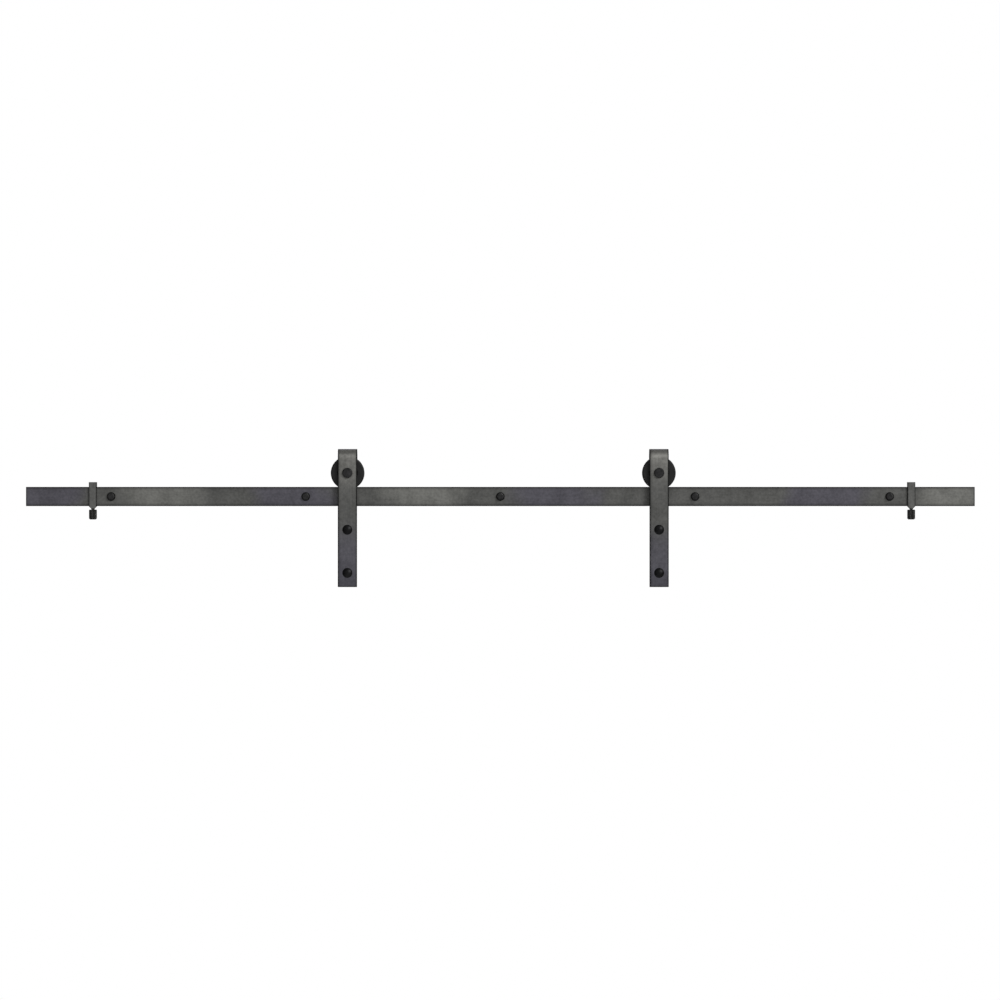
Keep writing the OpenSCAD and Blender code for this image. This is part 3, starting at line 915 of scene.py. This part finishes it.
def makeKnob(x):
    low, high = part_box("screw_knob_left")
    base = knob["base"]
    knurlLow, knurlHigh = low.z + knob["footBevel"], high.z - knob["topBevel"]
    wall = [(base, knurlLow + (knurlHigh - knurlLow) * i / knob["rows"]) for i in range(knob["rows"] + 1)]
    outline = [(0, low.z), (base - knob["footBevel"], low.z)] + wall + [
        (base - knob["topBevel"], high.z), (knob["screw"], high.z),
        (knob["screw"], high.z - knob["screwDepth"]), (0, high.z - knob["screwDepth"])]
    piece = lathe(outline, x, midY, "Z", knob["columns"])
    edit(piece)

    def fromAxis(place):
        return math.hypot(place.x - x, place.y - midY)

    wallFrom = base * 0.99  # the squares' middles lie a little inside the circle
    onCircle = base - mergeGap * 5

    def onWall(place):
        return fromAxis(place) > wallFrom and knurlLow - mergeGap < place.z < knurlHigh + mergeGap

    # every square of the wall gets a middle, and without their own edges the squares become diamonds
    pick(piece, "FACE", lambda face: all(onWall(v.co) for v in face.verts))
    bpy.ops.mesh.poke()
    pick(piece, "EDGE", lambda edge: all(onWall(v.co) and fromAxis(v.co) > onCircle for v in edge.verts)
         and all(len(face.verts) == 3 for face in edge.link_faces))
    bpy.ops.mesh.dissolve_edges(use_verts=False)
    pick(piece, "FACE", lambda face: len(face.verts) == 4 and all(onWall(v.co) for v in face.verts))
    bpy.ops.mesh.poke(offset=knob["crest"])
    bpy.ops.mesh.select_all(action="SELECT")
    bpy.ops.mesh.normals_make_consistent(inside=False)
    endEdit()
    return piece


def makeThumbScrew(x):
    low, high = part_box("thumb_screw_left")
    screw = threadRod(x, midY, thumb["root"], thumb["crest"], thumb["pitch"], low.z, high.z, "Z", 16)
    floor = high.z - thumb["boreDepth"]
    return combine(screw, lathe([(0, floor), (thumb["bore"], floor), (thumb["bore"], high.z + over),
                                 (0, high.z + over)], x, midY, "Z", 32))


def makePad(x):
    low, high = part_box("pressure_pad_left")
    face, edge = high.z - pad["height"], pad["edge"]
    return lathe([(0, low.z), (pad["stem"] - edge, low.z), (pad["stem"], low.z + edge), (pad["stem"], face),
                  (pad["radius"] - edge, face), (pad["radius"], face + edge), (pad["radius"], high.z - edge),
                  (pad["radius"] - edge, high.z), (0, high.z)], x, midY, "Z", 48)


def makeStops():
    x = middle("stop_body_left").x
    screw, puck = makeThumbScrew(x), makePad(x)
    pieces = {"stop_body": makeStopBody(x), "screw_knob": makeKnob(x), "thumb_screw": screw,
              "pressure_pad": puck}
    for node, side, made in onBothSides(pieces, sideShift("stop_body")):
        crease = knob["crease"] if node == "screw_knob" else stop["crease"]
        standFor(made, f"{node}_{side}", stopMaterial(node, side), crease)


makeStops()
print("stops made")


studio = {"floorZ": -1.25, "floorRadius": 1.75, "floorTone": 0.86, "skyFront": 0.66, "skySide": 0.10,
          "skyTop": 0.34, "leftShare": 0.5, "rightShare": 1.5, "shareReach": 0.8, "panelFrom": 0.25,
          "panelFull": 0.9, "topFrom": 0.35, "topFull": 0.9, "lampZ": 3, "lens": 180, "sensor": 36,
          "width": 2.0881, "lookX": -0.0008, "lookZ": -0.0073, "farthest": 100}
suns = {"key": {"direction": (0.8, -1.0, 0.7), "strength": 2.4, "wide": 24},
        "fill": {"direction": (-0.9, -1.0, 0.35), "strength": 0.2, "wide": 60},
        "rear": {"direction": (-0.4, 1.0, 0.7), "strength": 1.1, "wide": 50}}


def paleFloor():
    deselect()
    bpy.ops.mesh.primitive_circle_add(vertices=128, radius=studio["floorRadius"], fill_type="NGON",
                                      location=(0, 0, studio["floorZ"]))
    floor = bpy.context.object
    floor.name = "floor"
    material, _, shader = startMaterial("pale_floor", 0, 0.9, 0.2)
    tone = studio["floorTone"]
    shader.inputs["Base Color"].default_value = (tone, tone, tone, 1)
    floor.data.materials.append(material)


def paleSky():
    world = bpy.data.worlds.new("pale_sky")
    bpy.context.scene.world = world
    world.use_nodes = True
    tree = world.node_tree
    backdrop = tree.nodes["Background"]
    backdrop.inputs["Color"].default_value = (1, 1, 1, 1)
    # one wide soft panel in front of the object and one behind it, stronger towards the right,
    # one overhead, and little from the sides
    direction = add(tree, "TexCoord").outputs["Generated"]
    ahead = calc(tree, "ABSOLUTE", along(tree, direction, 1))
    share = spread(tree, along(tree, direction, 0), -studio["shareReach"], studio["shareReach"],
                   studio["leftShare"], studio["rightShare"])
    panel = spread(tree, ahead, studio["panelFrom"], studio["panelFull"],
                   studio["skySide"], studio["skyFront"])
    panel = calc(tree, "MULTIPLY", share, panel)
    overhead = spread(tree, along(tree, direction, 2), studio["topFrom"], studio["topFull"],
                      0, studio["skyTop"])
    panel = calc(tree, "MAXIMUM", panel, overhead)
    seen = add(tree, "LightPath").outputs["Is Camera Ray"]
    strength = add(tree, "MapRange", {"Value": seen, "To Min": panel, "To Max": 1.0}).outputs[0]
    tree.links.new(strength, backdrop.inputs["Strength"])


def softSun(name, direction, strength, wide):  # wide is the sun's angle in degrees
    deselect()
    bpy.ops.object.light_add(type="SUN", location=(0, 0, studio["lampZ"]))
    lamp = bpy.context.object
    lamp.name = name
    lamp.data.energy = strength
    lamp.data.angle = math.radians(wide)
    lamp.rotation_euler = Vector(direction).to_track_quat("Z", "Y").to_euler()


def frontCamera():
    railFront = depthOf("track_rail")[0]
    distance = studio["width"] * studio["lens"] / studio["sensor"]
    deselect()
    bpy.ops.object.camera_add(location=(studio["lookX"], railFront - distance, studio["lookZ"]),
                              rotation=(math.pi / 2, 0, 0))
    camera = bpy.context.object
    camera.data.lens = studio["lens"]
    camera.data.sensor_width = studio["sensor"]
    camera.data.clip_end = studio["farthest"]
    bpy.context.scene.camera = camera


paleFloor()
paleSky()
for sunName, sun in suns.items():
    softSun(sunName, **sun)
frontCamera()
bpy.context.scene.view_settings.view_transform = "Standard"
print("studio made")
